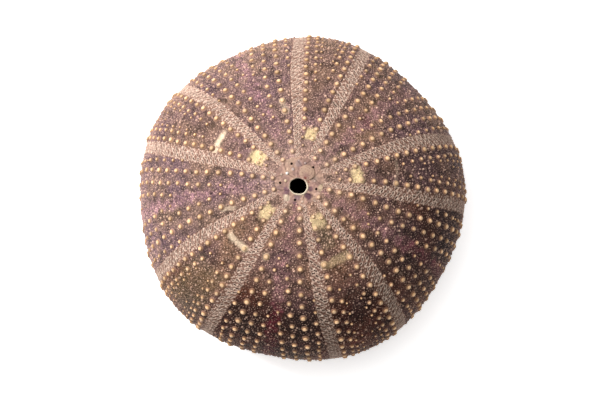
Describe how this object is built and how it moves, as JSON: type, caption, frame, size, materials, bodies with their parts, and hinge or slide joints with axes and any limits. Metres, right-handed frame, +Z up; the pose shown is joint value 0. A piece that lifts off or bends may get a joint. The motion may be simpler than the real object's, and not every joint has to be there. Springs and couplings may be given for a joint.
{
  "type": "sea urchin shell",
  "caption": "Empty, hollow, slightly five-lobed shell of a regular sea urchin, knobbed outside, with a small opening on top and a wide one below.",
  "frame": {"origin": "centre of the bounding box's bottom face, on the plane the shell rests on, below its middle", "axes": "+Z up out of the small top opening (the vent); +Y towards one of the five tube-foot radii; the shell mirrors across the YZ plane"},
  "size_m": [0.0842, 0.084, 0.045],
  "materials": {
    "urchin_lime": "matte calcite, mauve-brown with ochre knobs and paler pinkish pore bands"
  },
  "bodies": {
    "root": {"shell": "urchin_lime"}
  },
  "joints": []
}
